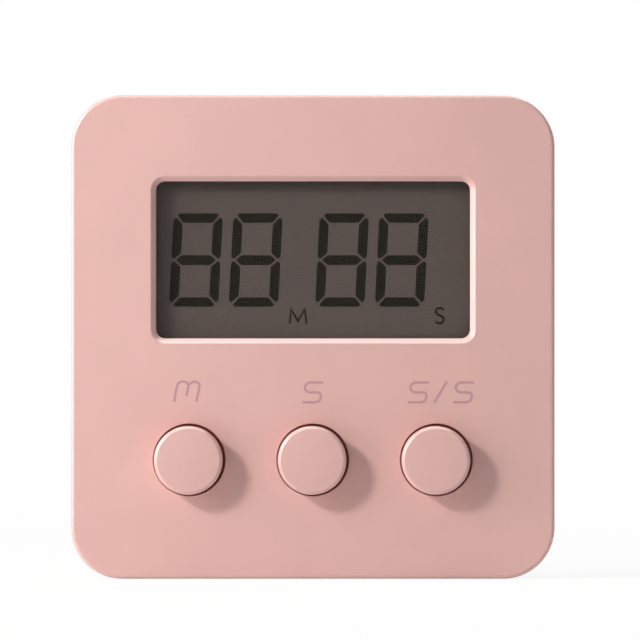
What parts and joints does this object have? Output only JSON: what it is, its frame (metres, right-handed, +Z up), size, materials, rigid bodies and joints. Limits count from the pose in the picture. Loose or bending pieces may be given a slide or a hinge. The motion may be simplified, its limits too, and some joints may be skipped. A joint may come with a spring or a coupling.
{
  "type": "digital kitchen timer",
  "caption": "Square digital countdown timer with a bevelled display window, round push buttons, fold-out stand, magnets and a hinged battery door.",
  "frame": {"origin": "centre of the bounding box in plan, at the level of the flat bottom edge that the timer stands on", "axes": "+Z up, -Y out of the display side, +X to the right as seen from the display side"},
  "size_m": [0.065, 0.0222, 0.065],
  "materials": {
    "case_plastic": "fine satin moulded plastic",
    "button_plastic": "fine satin moulded plastic",
    "clear_lens": "clear polished",
    "dark_film": "dark film",
    "display_glass": "polished",
    "reflector_film": "metallised film",
    "white_plastic": "moulded",
    "dark_rubber": "matte",
    "green_board": "lacquered glass fibre board",
    "black_resin": "potting resin",
    "nickel": "nickel plated spring steel",
    "ferrite": "ferrite with lacquered winding",
    "grey_rubber": "silicone rubber",
    "brass": "bright sheet",
    "piezo_ceramic": "silvered ceramic",
    "cell_jacket": "printed steel can",
    "red_lead": "insulated lead",
    "black_lead": "insulated lead",
    "magnet": "nickel plated magnet",
    "zinc_steel": "zinc plated"
  },
  "bodies": {
    "case": {"front_case": "case_plastic", "rear_cover": "case_plastic", "display_lens": "clear_lens", "front_polariser": "dark_film", "lcd_front_glass": "display_glass", "lcd_rear_glass": "display_glass", "lcd_reflector": "reflector_film", "lcd_holder": "white_plastic", "zebra_strip": "dark_rubber", "circuit_board": "green_board", "chip": "black_resin", "crystal": "nickel", "boost_coil": "ferrite", "rubber_dome_minutes": "grey_rubber", "rubber_dome_seconds": "grey_rubber", "rubber_dome_start_stop": "grey_rubber", "buzzer_plate": "brass", "buzzer_ceramic": "piezo_ceramic", "battery_cell": "cell_jacket", "positive_contact": "nickel", "negative_contact": "nickel", "battery_spring": "nickel", "positive_lead": "red_lead", "negative_lead": "black_lead", "buzzer_lead_ceramic": "red_lead", "buzzer_lead_plate": "black_lead", "magnet_left": "magnet", "magnet_right": "magnet", "case_screw_lower_left": "zinc_steel", "board_screw_lower_left": "zinc_steel", "case_screw_lower_right": "zinc_steel", "board_screw_lower_right": "zinc_steel", "case_screw_upper_left": "zinc_steel", "board_screw_upper_left": "zinc_steel", "case_screw_upper_right": "zinc_steel", "board_screw_upper_right": "zinc_steel"},
    "minutes_button": {"button_cap_minutes": "button_plastic"},
    "seconds_button": {"button_cap_seconds": "button_plastic"},
    "start_stop_button": {"button_cap_start_stop": "button_plastic"},
    "stand": {"stand": "case_plastic"},
    "battery_door": {"battery_door": "case_plastic"}
  },
  "joints": [
    {"name": "minutes_press", "type": "slide", "parent": "case", "child": "minutes_button", "axis": [0, 1, 0], "range_m": [0, 0.001], "stiffness_N_per_m": 900, "deforming": ["rubber_dome_minutes"]},
    {"name": "seconds_press", "type": "slide", "parent": "case", "child": "seconds_button", "axis": [0, 1, 0], "range_m": [0, 0.001], "stiffness_N_per_m": 900, "deforming": ["rubber_dome_seconds"]},
    {"name": "start_stop_press", "type": "slide", "parent": "case", "child": "start_stop_button", "axis": [0, 1, 0], "range_m": [0, 0.001], "stiffness_N_per_m": 900, "deforming": ["rubber_dome_start_stop"]},
    {"name": "stand_hinge", "type": "hinge", "parent": "case", "child": "stand", "pos_m": [0, 0.0096, 0.0365], "axis": [1, 0, 0], "range_deg": [0, 40]},
    {"name": "battery_door_hinge", "type": "hinge", "parent": "case", "child": "battery_door", "pos_m": [0, 0.01, 0.0408], "axis": [-1, 0, 0], "range_deg": [0, 90]}
  ]
}
